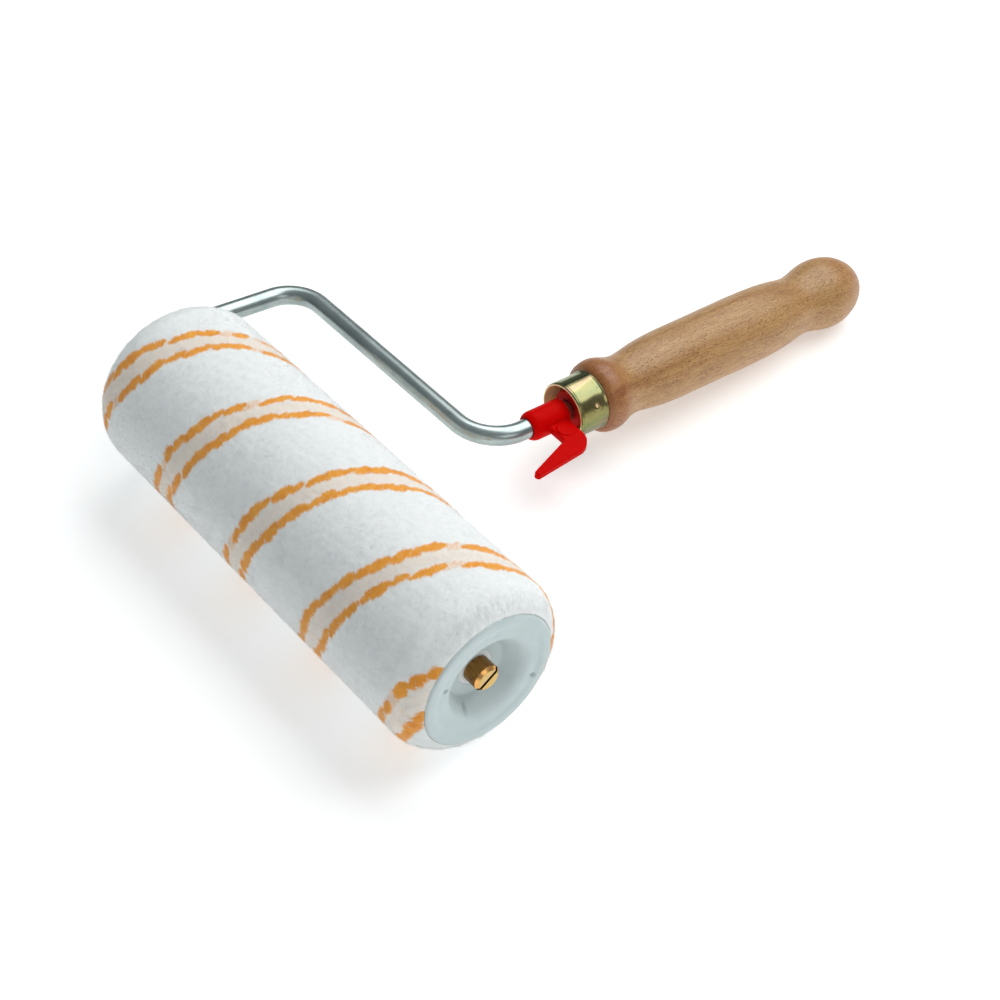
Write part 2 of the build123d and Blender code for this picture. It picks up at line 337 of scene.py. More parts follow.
class Look:
    """A Principled material, with short calls that add the nodes behind its sockets."""

    def __init__(self, name, **fixed):
        self.material = bpy.data.materials.new(name)
        self.material.use_nodes = True
        self.tree = self.material.node_tree
        self.shader = self.tree.nodes["Principled BSDF"]
        for socket, value in fixed.items():
            self.shader.inputs[socket.replace("_", " ")].default_value = value

    def node(self, kind, settings=(), **inputs):
        """A new node with those settings and inputs, whose names may have _ for a space."""
        made = self.tree.nodes.new(kind)
        for setting, value in dict(settings).items():
            setattr(made, setting, value)
        for socket, value in inputs.items():
            self.fill(made.inputs[socket.replace("_", " ")], value)
        return made

    def fill(self, socket, value):
        """Links another node's output to the socket, or sets a constant on it."""
        if isinstance(value, bpy.types.NodeSocket):
            self.tree.links.new(value, socket)
        else:
            socket.default_value = value

    def place(self, scale=(1, 1, 1), mapped=True):
        """The surface's place times scale: bench millimetres, or the object's own if not mapped."""
        if mapped:
            vector = self.node("ShaderNodeAttribute", {"attribute_name": "bench"}).outputs["Vector"]
        else:
            vector = self.node("ShaderNodeTexCoord").outputs["Object"]
            scale = [share / MM for share in scale]
        made = self.node("ShaderNodeVectorMath", {"operation": "MULTIPLY"})
        self.fill(made.inputs[0], vector)
        made.inputs[1].default_value = scale
        return made.outputs["Vector"]

    def noise(self, vector, scale, detail=3.0, roughness=0.55, distortion=0.0):
        made = self.node("ShaderNodeTexNoise", Vector=vector, Scale=scale, Detail=detail)
        made.inputs["Roughness"].default_value = roughness
        made.inputs["Distortion"].default_value = distortion
        return made.outputs["Fac"]

    def ramp(self, factor, *stops):
        """A colour or value for each factor, from (position, colour) stops."""
        made = self.node("ShaderNodeValToRGB", Fac=factor)
        elements = made.color_ramp.elements
        while len(elements) < len(stops):
            elements.new(0.5)
        for element, (position, value) in zip(elements, stops):
            element.position = position
            element.color = value if isinstance(value, tuple) else (value, value, value, 1)
        return made.outputs["Color"]

    def mix(self, factor, first, second, blend="MIX"):
        """Two colours blended by factor."""
        made = self.node("ShaderNodeMix", {"data_type": "RGBA", "blend_type": blend})
        self.fill(made.inputs["Factor"], factor)
        for socket, value in zip([s for s in made.inputs if s.type == "RGBA"], (first, second)):
            self.fill(socket, value)
        return next(s for s in made.outputs if s.type == "RGBA")

    def math(self, operation, first, second=0.0):
        made = self.node("ShaderNodeMath", {"operation": operation})
        self.fill(made.inputs[0], first)
        self.fill(made.inputs[1], second)
        return made.outputs[0]

    def axis(self, vector, name):
        """A vector's X, Y or Z."""
        return self.node("ShaderNodeSeparateXYZ", Vector=vector).outputs[name]

    def bump(self, height, depth):
        """Relief of that depth in millimetres for a height of 1."""
        made = self.node("ShaderNodeBump", Height=height, Distance=depth * MM, Strength=1.0)
        self.fill(self.shader.inputs["Normal"], made.outputs["Normal"])

    def set(self, **sockets):
        """Fills the shader's sockets and gives back the material."""
        for socket, value in sockets.items():
            self.fill(self.shader.inputs[socket.replace("_", " ")], value)
        return self.material


WHITEST = colour(255, 255, 255)


def zinc_look(name):
    """Bright zinc plate on drawn wire: a grey-green film, faintly cloudy and drawn along the roller."""
    look = Look(name, Metallic=1.0)
    cloud = look.noise(look.place(), 0.08)
    tint = look.ramp(cloud, (0.3, colour(146, 158, 157)), (0.7, colour(170, 181, 179)))
    wear = look.noise(look.place((0.12, 0.9, 0.9)), 1.0)
    scratch = look.ramp(wear, (0.26, colour(178, 184, 184)), (0.36, WHITEST))
    return look.set(
        Base_Color=look.mix(0.5, tint, scratch, "MULTIPLY"),
        Roughness=look.ramp(look.noise(look.place(), 0.25), (0.3, 0.27), (0.75, 0.34)),
    )


def brass_look():
    """Turned brass: a browned, drawn side, a bright chamfer, a paler face and a slot painted near-black
    as painted shade.
    """
    look = Look("turned_brass", Metallic=1.0)
    place = look.place()
    end = float(cad_span("axle_nut", X)[1])
    blend, zone_start, zone_length = 0.05, 2.0, 2.2
    streaks = look.noise(look.place((0.22, 2.4, 2.4)), 1.0, detail=4.0, roughness=0.7)
    side = look.ramp(streaks, (0.32, colour(116, 76, 38)), (0.68, colour(172, 124, 66)))
    along = look.axis(place, "X")
    cut = look.ramp(
        look.math("DIVIDE", look.math("SUBTRACT", along, end - zone_start), zone_length),
        ((zone_start - blend - NUT_CHAMFER) / zone_length, 0.0),
        ((zone_start + blend - NUT_CHAMFER) / zone_length, 1.0),
    )
    face = look.math("GREATER_THAN", along, end - 0.12)
    bright = look.mix(face, colour(236, 176, 104), colour(204, 170, 104))
    turn = math.radians(NUT_SLOT_ANGLE)
    across = look.math(
        "ADD",
        look.math("MULTIPLY", look.axis(place, "Y"), -math.sin(turn)),
        look.math("MULTIPLY", look.axis(place, "Z"), math.cos(turn)),
    )
    # Painted shade: the inside of the sawn slot is painted near-black.
    painted_slot_shade = look.math(
        "MULTIPLY",
        look.math("LESS_THAN", look.math("ABSOLUTE", across), NUT_SLOT_WIDTH / 2 + 0.03),
        look.math("GREATER_THAN", along, end - NUT_SLOT_DEPTH - blend),
    )
    metal = look.mix(painted_slot_shade, look.mix(cut, side, bright), colour(40, 26, 16))
    look.bump(look.noise(look.place((0.4, 3.0, 3.0)), 1.0, detail=2.0), 0.012)
    return look.set(Base_Color=metal, Roughness=look.ramp(streaks, (0.3, 0.36), (0.7, 0.24)))


def chromate_look():
    """Yellow chromate over zinc: grey green that drifts to cream and pink round it in painted reflection
    bands, and duller inside, where the wall is also painted pale as painted light.
    """
    look = Look("yellow_chromate")
    place = look.place()
    drift = look.noise(look.place((0.11, 0.05, 0.11)), 1.0, detail=2.0, distortion=0.6)
    film = look.ramp(
        drift,
        (0.3, colour(182, 152, 150)),
        (0.4, colour(182, 174, 144)),
        (0.5, colour(152, 156, 122)),
        (0.6, colour(134, 148, 122)),
        (0.72, colour(184, 164, 146)),
    )
    speckle = look.noise(place, 0.8, detail=4.0)
    spots = look.ramp(speckle, (0.26, colour(150, 150, 120)), (0.4, WHITEST))
    across_x, across_z = look.axis(place, "X"), look.axis(place, "Z")
    squares = [look.math("POWER", across, 2.0) for across in (across_x, across_z)]
    size = look.math("SQRT", look.math("ADD", *squares))
    outside = look.math("GREATER_THAN", size, FERRULE_R - 0.45)
    # Painted light: the inside wall is painted pale and made mostly non-metallic so that it looks lit
    # where little light reaches, besides its duller film.
    inner = look.ramp(
        drift,
        (0.35, colour(255, 205, 184)),
        (0.5, colour(255, 228, 160)),
        (0.65, colour(236, 226, 178)),
    )
    ragged = look.math("MULTIPLY", look.math("SUBTRACT", look.noise(place, 0.9, detail=3.0), 0.5), 0.07)
    turn = look.math("ADD", look.math("ARCTAN2", across_x, across_z), ragged)
    seam_gap = look.math("ABSOLUTE", look.math("SUBTRACT", turn, math.radians(SEAM_ANGLE)))
    seam = look.ramp(seam_gap, (0.012, colour(70, 74, 56)), (0.038, WHITEST))
    # Painted reflection bands: film tints fixed by the angle round the ferrule, dark green, cream, olive
    # and pink, where the studio's light and dark reflect.
    around = look.ramp(
        look.math("DIVIDE", look.math("ADD", turn, math.pi), 2 * math.pi),
        (0.0, colour(235, 225, 190)),
        (0.36, colour(214, 216, 184)),
        (0.47, colour(186, 202, 166)),
        (0.49, colour(232, 222, 200)),
        (0.61, colour(226, 214, 184)),
        (0.667, colour(214, 198, 146)),
        (0.75, colour(170, 190, 136)),
        (0.86, colour(224, 192, 190)),
        (1.0, colour(235, 225, 190)),
    )
    film_and_painted_reflection = look.mix(0.9, look.mix(0.5, film, spots, "MULTIPLY"), around, "MULTIPLY")
    outer = look.mix(1.0, film_and_painted_reflection, seam, "MULTIPLY")
    look.bump(look.noise(place, 0.3, detail=2.0), 0.02)
    return look.set(
        Base_Color=look.mix(outside, inner, outer),
        Metallic=look.ramp(outside, (0.0, 0.2), (1.0, 1.0)),
        Roughness=look.ramp(outside, (0.0, 0.38), (1.0, 0.23)),
    )


def plastic_look(name, base, deep, roughness, mapped=True, **fixed):
    """Moulded plastic with a fine skin, slight flow marks and an uneven gloss."""
    look = Look(name, **fixed)
    place = look.place(mapped=mapped)
    flow = look.noise(place, 0.12, detail=3.0, distortion=0.5)
    look.bump(look.noise(place, 1.6, detail=4.0), 0.006)
    uneven = 0.15 * roughness
    return look.set(
        Base_Color=look.ramp(flow, (0.25, deep), (0.7, base)),
        Roughness=look.ramp(look.noise(place, 0.5), (0.3, roughness - uneven), (0.7, roughness + uneven)),
    )


def cloth_look():
    """The woven cloth behind the pile."""
    look = Look("backing_cloth", Sheen_Weight=0.3)
    place = look.place(mapped=False)
    weave = look.noise(place, 2.0, detail=2.0)
    look.bump(weave, 0.2)
    return look.set(
        Base_Color=look.ramp(weave, (0.3, colour(190, 188, 180)), (0.7, colour(222, 220, 212))),
        Roughness=look.ramp(weave, (0.3, 0.95), (0.7, 0.8)),
    )


def beech_look():
    """Varnished steamed beech: warm tan, soft bands and many short fine rays along the grain."""
    look = Look("varnished_beech", Coat_Weight=0.18, Coat_Roughness=0.32)
    bands = look.noise(look.place((0.13, 0.012, 0.16)), 1.0, detail=4.0, distortion=0.5)
    wood = look.ramp(
        bands,
        (0.28, colour(166, 118, 66)),
        (0.42, colour(184, 139, 84)),
        (0.55, colour(194, 152, 97)),
        (0.72, colour(181, 133, 82)),
    )
    fibre = look.noise(look.place((2.2, 0.12, 2.2)), 1.0, detail=3.0, roughness=0.6)
    threads = look.ramp(fibre, (0.32, colour(212, 194, 176)), (0.6, WHITEST))
    rays = look.noise(look.place((3.6, 0.62, 3.6)), 1.0, detail=1.0, roughness=0.5)
    flecks = look.ramp(rays, (0.35, colour(158, 104, 64)), (0.46, WHITEST))
    patches = look.noise(look.place((0.25, 0.06, 0.25)), 1.0, detail=2.0)
    amount = look.ramp(patches, (0.35, 0.35), (0.6, 0.8))
    grained = look.mix(amount, look.mix(0.75, wood, threads, "MULTIPLY"), flecks, "MULTIPLY")
    along = look.axis(look.place(), "Y")
    first, last = cad_span("handle", Y)
    # Darker and warmer towards both ends of the handle.
    ends = look.ramp(
        look.math("DIVIDE", look.math("SUBTRACT", along, float(first)), float(last - first)),
        (0.03, colour(218, 170, 118)),
        (0.075, colour(224, 180, 130)),
        (0.13, WHITEST),
        (0.86, WHITEST),
        (0.97, colour(238, 214, 186)),
    )
    look.bump(look.math("ADD", look.math("MULTIPLY", fibre, 0.5), rays), 0.02)
    return look.set(
        Base_Color=look.mix(0.8, grained, ends, "MULTIPLY"),
        Roughness=look.ramp(fibre, (0.3, 0.5), (0.7, 0.4)),
    )


def pile_look():
    """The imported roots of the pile: white, with the gold helix and a warm blush beside it."""
    look = Look("plush_pile", Sheen_Weight=0.3, Sheen_Roughness=0.5)
    place = look.place()
    stripe = look.node("ShaderNodeAttribute", {"attribute_name": "stripe"}).outputs["Fac"]
    blush = look.node("ShaderNodeAttribute", {"attribute_name": "blush"}).outputs["Fac"]
    tufts = look.noise(place, 0.5, detail=4.0, roughness=0.6)
    white = look.ramp(tufts, (0.3, colour(240, 244, 243)), (0.6, colour(250, 252, 251)))
    warm = look.mix(look.math("MULTIPLY", blush, 0.6), white, colour(246, 222, 196))
    gold = look.ramp(tufts, (0.3, colour(244, 158, 42)), (0.65, colour(252, 180, 66)))
    look.bump(tufts, 0.12)
    return look.set(
        Base_Color=look.mix(stripe, warm, gold),
        Roughness=look.ramp(tufts, (0.3, 0.95), (0.7, 0.8)),
    )


def fibre_look(name, tone):
    """One tone of the pile's fibres."""
    return Look(name, Base_Color=tone, Roughness=0.75, Sheen_Weight=0.3, Specular_IOR_Level=0.25).material


BRASS = brass_look()
ZINC_WIRE = zinc_look("zinc_wire")
ZINC_RING = zinc_look("zinc_ring")
CHROMATE = chromate_look()
RED = plastic_look("red_plastic", colour(207, 1, 0), colour(200, 1, 0), 0.45, Specular_IOR_Level=0.03)
DARK_RED = plastic_look(
    "dark_red_plastic", colour(196, 10, 4), colour(178, 8, 3), 0.55, Specular_IOR_Level=0.08
)
WHITE = plastic_look(
    "white_plastic", colour(204, 216, 216), colour(197, 210, 210), 0.44, Specular_IOR_Level=0.35
)
BUSH_WHITE = plastic_look("white_bush", colour(238, 242, 240), colour(226, 232, 230), 0.45)
CORE = plastic_look("core_plastic", colour(196, 202, 200), colour(182, 188, 186), 0.5, mapped=False)
CLOTH = cloth_look()
BEECH = beech_look()
PILE = pile_look()

# ---------------------------------------------------------------- wire frame


def wire_frame():
    """The bent wire, swept round along its centre line."""
    centre = divided(rounded(WIRE_CORNERS, arc_step=3.0), 6.0)
    ahead = np.gradient(centre, axis=0)
    ahead /= np.linalg.norm(ahead, axis=1)[:, None]
    side = np.stack([ahead[:, 1], -ahead[:, 0]], axis=1)
    segments = 48
    turns = np.arange(segments) * 2 * math.pi / segments
    radius = np.full(len(centre), WIRE_R)
    radius[[0, -1]] -= WIRE_END_TAPER
    flat = centre[:, None, :] + (radius[:, None] * np.cos(turns))[..., None] * side[:, None, :]
    height = radius[:, None] * np.sin(turns)
    points = np.concatenate([flat, height[..., None]], axis=-1).reshape(-1, 3)
    ring = np.arange(len(centre) - 1)[:, None] * segments
    step = np.arange(segments)[None, :]
    step_next = (step + 1) % segments
    near, far = ring, ring + segments
    walls = np.stack([near + step, near + step_next, far + step_next, far + step], axis=-1)
    last = (len(centre) - 1) * segments
    ends = [list(range(segments)), list(range(last, last + segments))]
    wire = new_object("wire_frame", new_mesh("wire_frame", points, walls.reshape(-1, 4).tolist() + ends))
    finish_piece(wire, "frame", ZINC_WIRE, "frame_rod")


# ---------------------------------------------------------------- nut, washer, ring and bushes


def slotted_nut():
    """The brass nut, with its chamfered end and a sawn slot."""
    start, end = cad_span("axle_nut", X)
    radius = cad_radius("axle_nut", X)
    corners = (
        (start, 0.0, 0.0),
        (start, radius, 0.1),
        (end - NUT_CHAMFER, radius, 0.12),
        (end, radius - NUT_CHAMFER, 0.12),
        (end, 0.0, 0.0),
    )
    nut = turned("slotted_nut", X, corners, 96)
    turn = math.radians(NUT_SLOT_ANGLE)
    along = np.array([0, math.cos(turn), math.sin(turn)])
    across = np.array([0, -math.sin(turn), math.cos(turn)])
    reach = 2 * radius
    half = NUT_SLOT_WIDTH / 2
    points = [
        np.array([end + deep * NUT_SLOT_DEPTH, 0, 0]) + length * reach * along + width * half * across
        for deep in (-1, 1)
        for length in (-1, 1)
        for width in (-1, 1)
    ]
    faces = [(0, 1, 3, 2), (4, 6, 7, 5), (0, 4, 5, 1), (2, 3, 7, 6), (0, 2, 6, 4), (1, 5, 7, 3)]
    cutter = new_object("slot_cutter", new_mesh("slot_cutter", points, faces))
    edge = {"width": 0.07 * MM, "segments": 2, "limit_method": "ANGLE", "angle_limit": math.radians(30)}
    with_modifiers(
        nut,
        ("BOOLEAN", {"object": cutter, "operation": "DIFFERENCE", "solver": "EXACT"}),
        ("BEVEL", edge),
    )
    bpy.data.objects.remove(cutter)
    finish_piece(nut, "frame", BRASS, "axle_nut")


def ring_piece(name, node, body, material, inner_r, rounding=0.25):
    """A plain ring on the roller's axis, with eased edges."""
    start, end = cad_span(node, X)
    outer_r = cad_radius(node, X)
    corners = (
        (start, (inner_r + outer_r) / 2, 0.0),
        (start, outer_r, rounding),
        (end, outer_r, rounding),
        (end, inner_r, rounding),
        (start, inner_r, rounding),
    )
    ring = turned(name, X, corners, 96)
    finish_piece(ring, body, material, node)


# ---------------------------------------------------------------- end caps


def end_cap(name, node, rim_x, inward):
    """A trumpet-shaped cap: rounded rim, shallow dish, funnel, hub and spigot."""
    front = [
        (CAP_FLANGE, CAP_R, 0.1),
        (0.0, CAP_R, 1.3),
        (0.0, 23.9, 4.0),
        (0.6, 22.0, 4.0),
        (0.95, 16.9, 6.0),
        (FUNNEL_DEPTH, 11.36, 1.5),
        (FUNNEL_DEPTH, BUSH_R, 0.15),
    ]
    back = [
        (HUB_END, BUSH_R, 0.0),
        (HUB_END, HUB_R, 0.3),
        (10.8, HUB_R, 0.5),
        (10.2, 12.2, 1.0),
        (4.2, 15.8, 2.0),
        (CAP_WEB, 18.8, 1.0),
        (CAP_WEB, SPIGOT_BORE_R, 0.5),
        (SPIGOT_DEPTH, SPIGOT_BORE_R, 0.0),
        (SPIGOT_DEPTH, SPIGOT_R - 0.4, 0.2),
        (SPIGOT_DEPTH - 1.5, SPIGOT_R, 0.0),
        (CAP_FLANGE, SPIGOT_R, 0.3),
    ]
    corners = [(rim_x + inward * depth, radius, rounding) for depth, radius, rounding in front + back]
    cap = turned(name, X, corners, 420, step=0.45, arc_step=8.0)
    places = to_bench(vertices_of(cap.data))
    depth = (places[:, X] - rim_x) * inward
    radius = np.hypot(places[:, Y], places[:, Z])
    middle_of_wall = np.interp(radius, [BUSH_R, 12.4, 14.3, 17.0, CAP_R], [8.3, 7.9, 5.6, 2.2, 1.5])
    for mark_r, angle, mark_depth, half_width, stretch in CAP_MARKS:
        turn = math.radians(angle)
        outward = (places[:, Y] * math.cos(turn) + places[:, Z] * math.sin(turn) - mark_r) / stretch
        sideways = places[:, Z] * math.cos(turn) - places[:, Y] * math.sin(turn)
        pressed = smooth_step(1.35 * (1 - np.hypot(outward, sideways) / half_width))
        places[:, X] += inward * mark_depth * pressed * (depth < middle_of_wall)
    cap.data.vertices.foreach_set("co", to_row(places).ravel())
    finish_piece(cap, "roller", WHITE, node, sharp_angle=50.0)


# ---------------------------------------------------------------- plush cover


def stripes(x, angle):
    """How gold the pile is at x and angle (degrees), and how near it is to a pair of stripes.

    Each stripe is a row of overlapping slanted dashes, and a seeded table gives each dash its own
    place, length, shift and width, and makes a few of them faint.
    """
    centre = STRIPE_X + (STRIPE_ANGLE - angle) * STRIPE_LEAD / 360
    pair = np.round((x - centre - STRIPE_GAP / 2) / STRIPE_PITCH)
    offset = x - centre - pair * STRIPE_PITCH
    helix_cos = math.cos(math.atan(STRIPE_LEAD / (2 * math.pi * PILE_R)))
    travel = np.radians(angle - 180 * pair) * PILE_R / helix_cos
    table = np.random.default_rng(71).random((4096, 5))
    ragged = STRIPE_RAGGED * bumps(np.stack([x, travel, 0 * x], axis=1), 1.5, 9)
    gold = np.zeros_like(x)
    for line, line_x in enumerate((0.0, STRIPE_GAP)):
        first_row = 977 * line + 1733 * np.mod(pair, 2)
        wander = 0.45 * np.sin(travel / 9.0 + 2.0 * line) + 0.3 * np.sin(travel / 4.1 + 1.3 * line)
        for neighbour in (-1, 0, 1):
            index = np.floor(travel / DASH_LENGTH) + neighbour
            placing, stretch, shift, fatness, faintness = table[
                np.mod(index + first_row, len(table)).astype(int)
            ].T
            middle = (index + 0.5 + 0.35 * (placing - 0.5)) * DASH_LENGTH
            part = (travel - middle) / (0.5 * DASH_LENGTH * (1.3 + 0.4 * stretch))
            axis_x = line_x + wander + DASH_SLANT * (travel - middle) + 0.9 * (shift - 0.5)
            half = 0.5 * STRIPE_WIDTH * (0.75 + 0.5 * fatness) * np.sqrt(np.clip(1 - part**2, 0, 1))
            strength = np.where(faintness < 0.07, 0.35, 1.0)
            inside = half + ragged - np.abs(offset - axis_x)
            dash = strength * smooth_step(inside / STRIPE_EDGE + 0.5) * (half > 0.1)
            gold = np.maximum(gold, dash)
    blush = smooth_step(1 - np.abs(offset - STRIPE_GAP / 2) / (STRIPE_GAP / 2 + BLUSH_SPREAD))
    return gold, blush


def three_point_arc(first, middle, last, steps):
    """Points of the arc from first to last through middle."""
    first, middle, last = (np.array(point, float) for point in (first, middle, last))
    rows = 2 * np.array([middle - first, last - middle])
    centre = np.linalg.solve(rows, [middle @ middle - first @ first, last @ last - middle @ middle])
    angles = np.unwrap([math.atan2(*(point - centre)[::-1]) for point in (first, middle, last)])
    radius = np.linalg.norm(first - centre)
    turns = np.linspace(angles[0], angles[2], steps)
    return centre + radius * np.stack([np.cos(turns), np.sin(turns)], axis=1)


def shoulder(end_x, inward, sink):
    """The rounded end of the pile, from the lip by the cap out to the full radius less sink."""
    middle_x, middle_r = SHOULDER_MIDDLE
    return three_point_arc(
        (end_x + inward * sink * 0.4, LIP_R),
        (end_x + inward * (middle_x + sink * 0.6), middle_r - sink * 0.6),
        (end_x + inward * SHOULDER_LENGTH, PILE_R - sink),
        24,
    )


def pile_outline(sink):
    """The pile's outside, from the far lip to the near one."""
    far = shoulder(PILE_START, 1, sink)
    near = shoulder(PILE_END, -1, sink)
    return np.vstack([far, near[::-1]])


def paint_stripes(mesh, gold, blush):
    """Stores how gold and how blushed each vertex is, which the pile's material reads."""
    for name, values in (("stripe", gold), ("blush", blush)):
        mesh.attributes.new(name, "FLOAT", "POINT").data.foreach_set("value", values.astype(np.float32))


def pile_roots():
    """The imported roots: a dense skin with tufts and hollows."""
    skin = divided(pile_outline(ROOT_DEPTH), 0.72)
    inner = [
        (BACKING_END, LIP_R),
        (BACKING_END, BACKING_R),
        (BACKING_START, BACKING_R),
        (BACKING_START, LIP_R),
    ]
    points, faces = lathe(X, np.vstack([skin, inner]), 330)
    radius = np.hypot(points[:, Y], points[:, Z])
    loose = smooth_step((radius - LIP_R - 0.3) / 2.5)
    relief = 0.07 * bumps(points, 8.0, 5) + 0.06 * bumps(points, 3.4, 6) + 0.03 * bumps(points, 1.8, 7)
    scale = 1 + loose * relief / radius
    points[:, Y] *= scale
    points[:, Z] *= scale
    roots = new_object("pile_roots", new_mesh("pile_roots", points, faces))
    places = to_bench(vertices_of(roots.data))
    angle = np.degrees(np.arctan2(places[:, Z], places[:, Y]))
    paint_stripes(roots.data, *stripes(places[:, X], angle))
    finish_piece(roots, "roller", PILE, "pile_cover", sharp_angle=None)


FIBRE_TONES = (
    ("pile_white", colour(250, 252, 252)),
    ("pile_cool", colour(244, 248, 248)),
    ("pile_ivory", colour(252, 250, 246)),
    ("pile_gold", colour(252, 182, 70)),
    ("pile_orange", colour(246, 164, 48)),
    ("pile_amber", colour(240, 182, 92)),
)
WHITE_TONES = 3             # the first tones are white, and the rest gold
FIBRE_MATERIALS = [fibre_look(name, tone) for name, tone in FIBRE_TONES]


def fibre_roots(draw, count, outline, start_share=0.0):
    """Random places on the pile's skin: along, radius, slope in the section, and angle."""
    lengths = np.r_[0, np.cumsum(np.linalg.norm(np.diff(outline, axis=0), axis=1))]
    area = np.r_[0, np.cumsum(np.diff(lengths) * (outline[1:, 1] + outline[:-1, 1]) / 2)]
    chosen = draw.uniform(start_share, 1.0, count) * area[-1]
    along = np.interp(chosen, area, outline[:, 0])
    radius = np.interp(chosen, area, outline[:, 1])
    slope = np.gradient(outline, lengths, axis=0)
    slope_x = np.interp(chosen, area, slope[:, 0])
    slope_r = np.interp(chosen, area, slope[:, 1])
    size = np.hypot(slope_x, slope_r)
    return along, radius, slope_x / size, slope_r / size, draw.uniform(0, 2 * math.pi, count)


def section_vectors(slope_x, slope_r, turn):
    """Unit vectors at each root: along the outline, square to the surface and round the roller."""
    zero = np.zeros_like(turn)
    out = np.stack([zero, np.cos(turn), np.sin(turn)], axis=1)
    ahead = np.stack([slope_x, zero, zero], axis=1) + slope_r[:, None] * out
    normal = np.stack([-slope_r, zero, zero], axis=1) + slope_x[:, None] * out
    return ahead, normal, np.cross(ahead, normal)


def fibre_mesh(name, roots, bends, tips, widths, sides, normals, tones):
    """Tapered blades, from a wide root over a bend to a point, each in one tone."""
    half = 0.5 * widths[:, None] * sides
    points = np.stack([roots - half, roots + half, bends + 0.7 * half, bends - 0.7 * half, tips], axis=1)
    first = 5 * np.arange(len(roots))[:, None]
    quads = first + np.array([0, 1, 2, 3])
    ends = first + np.array([3, 2, 4])
    mesh = bpy.data.meshes.new(name)
    mesh.from_pydata(to_row(points.reshape(-1, 3)).tolist(), [], quads.tolist() + ends.tolist())
    for look in FIBRE_MATERIALS:
        mesh.materials.append(look)
    mesh.polygons.foreach_set("material_index", np.r_[tones, tones].astype(np.int32))
    mesh.shade_smooth()
    shown = (normals[:, None, :] + np.zeros((1, 5, 1))).reshape(-1, 3) @ BENCH
    mesh.normals_split_custom_set_from_vertices(shown.tolist())
    return mesh


def tones_for(draw, gold, blush):
    """Which tone each fibre has: gold in the dashes, and now and then a stray beside them."""
    is_gold = draw.random(len(gold)) < gold * 0.97 + 0.018 * blush
    white = draw.choice(WHITE_TONES, len(gold), p=(0.55, 0.25, 0.2))
    bright = WHITE_TONES + draw.choice(len(FIBRE_TONES) - WHITE_TONES, len(gold), p=(0.5, 0.3, 0.2))
    return np.where(is_gold, bright, white)


def angle_of(turn):
    """A turn in radians as degrees between -180 and 180."""
    return np.degrees(np.mod(turn + math.pi, 2 * math.pi) - math.pi)


def round_roller(along, radius, turn):
    """Bench points at those places along the roller, radii and turns."""
    return np.stack([along, radius * np.cos(turn), radius * np.sin(turn)], axis=1)


def blend_turn(turn, first, second):
    """The direction at that turn (radians) from first towards second."""
    return np.cos(turn) * first + np.sin(turn) * second


def add_fibres(name, draw, roots, turn, normal, lying, lean, droop, length, widths, roughened):
    """A batch of fibres that lean from the normal towards lying, and droop further past their bends."""
    count = len(roots)
    rise = blend_turn(lean, normal, lying)
    bends = roots + 0.55 * length * rise
    tips = bends + 0.5 * length * blend_turn(lean + droop, normal, lying)
    sides = np.cross(rise, normal + 0.15 * draw.normal(size=(count, 3)))
    sides /= np.linalg.norm(sides, axis=1)[:, None] + 1e-9
    shown = normal + roughened * draw.normal(size=(count, 3))
    shown /= np.linalg.norm(shown, axis=1)[:, None]
    gold, blush = stripes(bends[:, X], angle_of(turn))
    mesh = fibre_mesh(name, roots, bends, tips, widths, sides, shown, tones_for(draw, gold, blush))
    piece = new_object(name, mesh)
    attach(piece, "roller")


def pile_fibres(name, count, seed):
    """Short soft fibres all over the cover."""
    draw = np.random.default_rng(seed)
    along, radius, slope_x, slope_r, turn = fibre_roots(draw, count, pile_outline(ROOT_DEPTH))
    ahead, normal, around = section_vectors(slope_x, slope_r, turn)
    roots = round_roller(along, radius, turn) - 0.15 * normal
    lying = blend_turn(draw.uniform(0, 2 * math.pi, count)[:, None], ahead, around)
    lean = np.radians(draw.uniform(*FIBRE_LEANS, count))[:, None]
    shorter_by_cap = 0.5 + 0.5 * smooth_step((radius - LIP_R) / 2.0)
    length = (draw.uniform(*FIBRE_LENGTHS, count) * shorter_by_cap)[:, None]
    widths = draw.uniform(*FIBRE_WIDTHS, count)
    add_fibres(name, draw, roots, turn, normal, lying, lean, 0.2, length, widths, roughened=0.07)


def combed_ends(name, end_x, inward, count, seed):
    """Longer strands on a shoulder of the pile, combed down towards the cap's rim in small wisps."""
    draw = np.random.default_rng(seed)
    outline = shoulder(end_x, inward, ROOT_DEPTH)[::-1]
    along, radius, slope_x, slope_r, turn = fibre_roots(draw, count, outline, 0.35)
    ahead, normal, around = section_vectors(slope_x, slope_r, turn)
    if inward > 0:
        # The far shoulder's outline runs towards -X, which turns its normals inwards.
        normal = -normal
    roots = round_roller(along, radius, turn) - 0.1 * normal
    wisp = bumps(roots * (0.4, 1.0, 1.0), 2.6, seed)
    stray = 0.55 * bumps(roots, 3.6, seed + 1) + draw.normal(0, 0.2, count)
    lying = blend_turn(stray[:, None], ahead, around)
    lean = np.radians(np.clip(66 - 18 * wisp + draw.normal(0, 4, count), *COMBED_LEANS))[:, None]
    room = np.abs(along - end_x) + np.maximum(radius - LIP_R, 0)
    length = np.minimum(draw.uniform(*COMBED_LENGTHS, count), 0.75 * room + 0.35)[:, None]
    widths = draw.uniform(*COMBED_WIDTHS, count)
    add_fibres(name, draw, roots, turn, normal, lying, lean, 0.25, length, widths, roughened=0.1)


# ---------------------------------------------------------------- handle


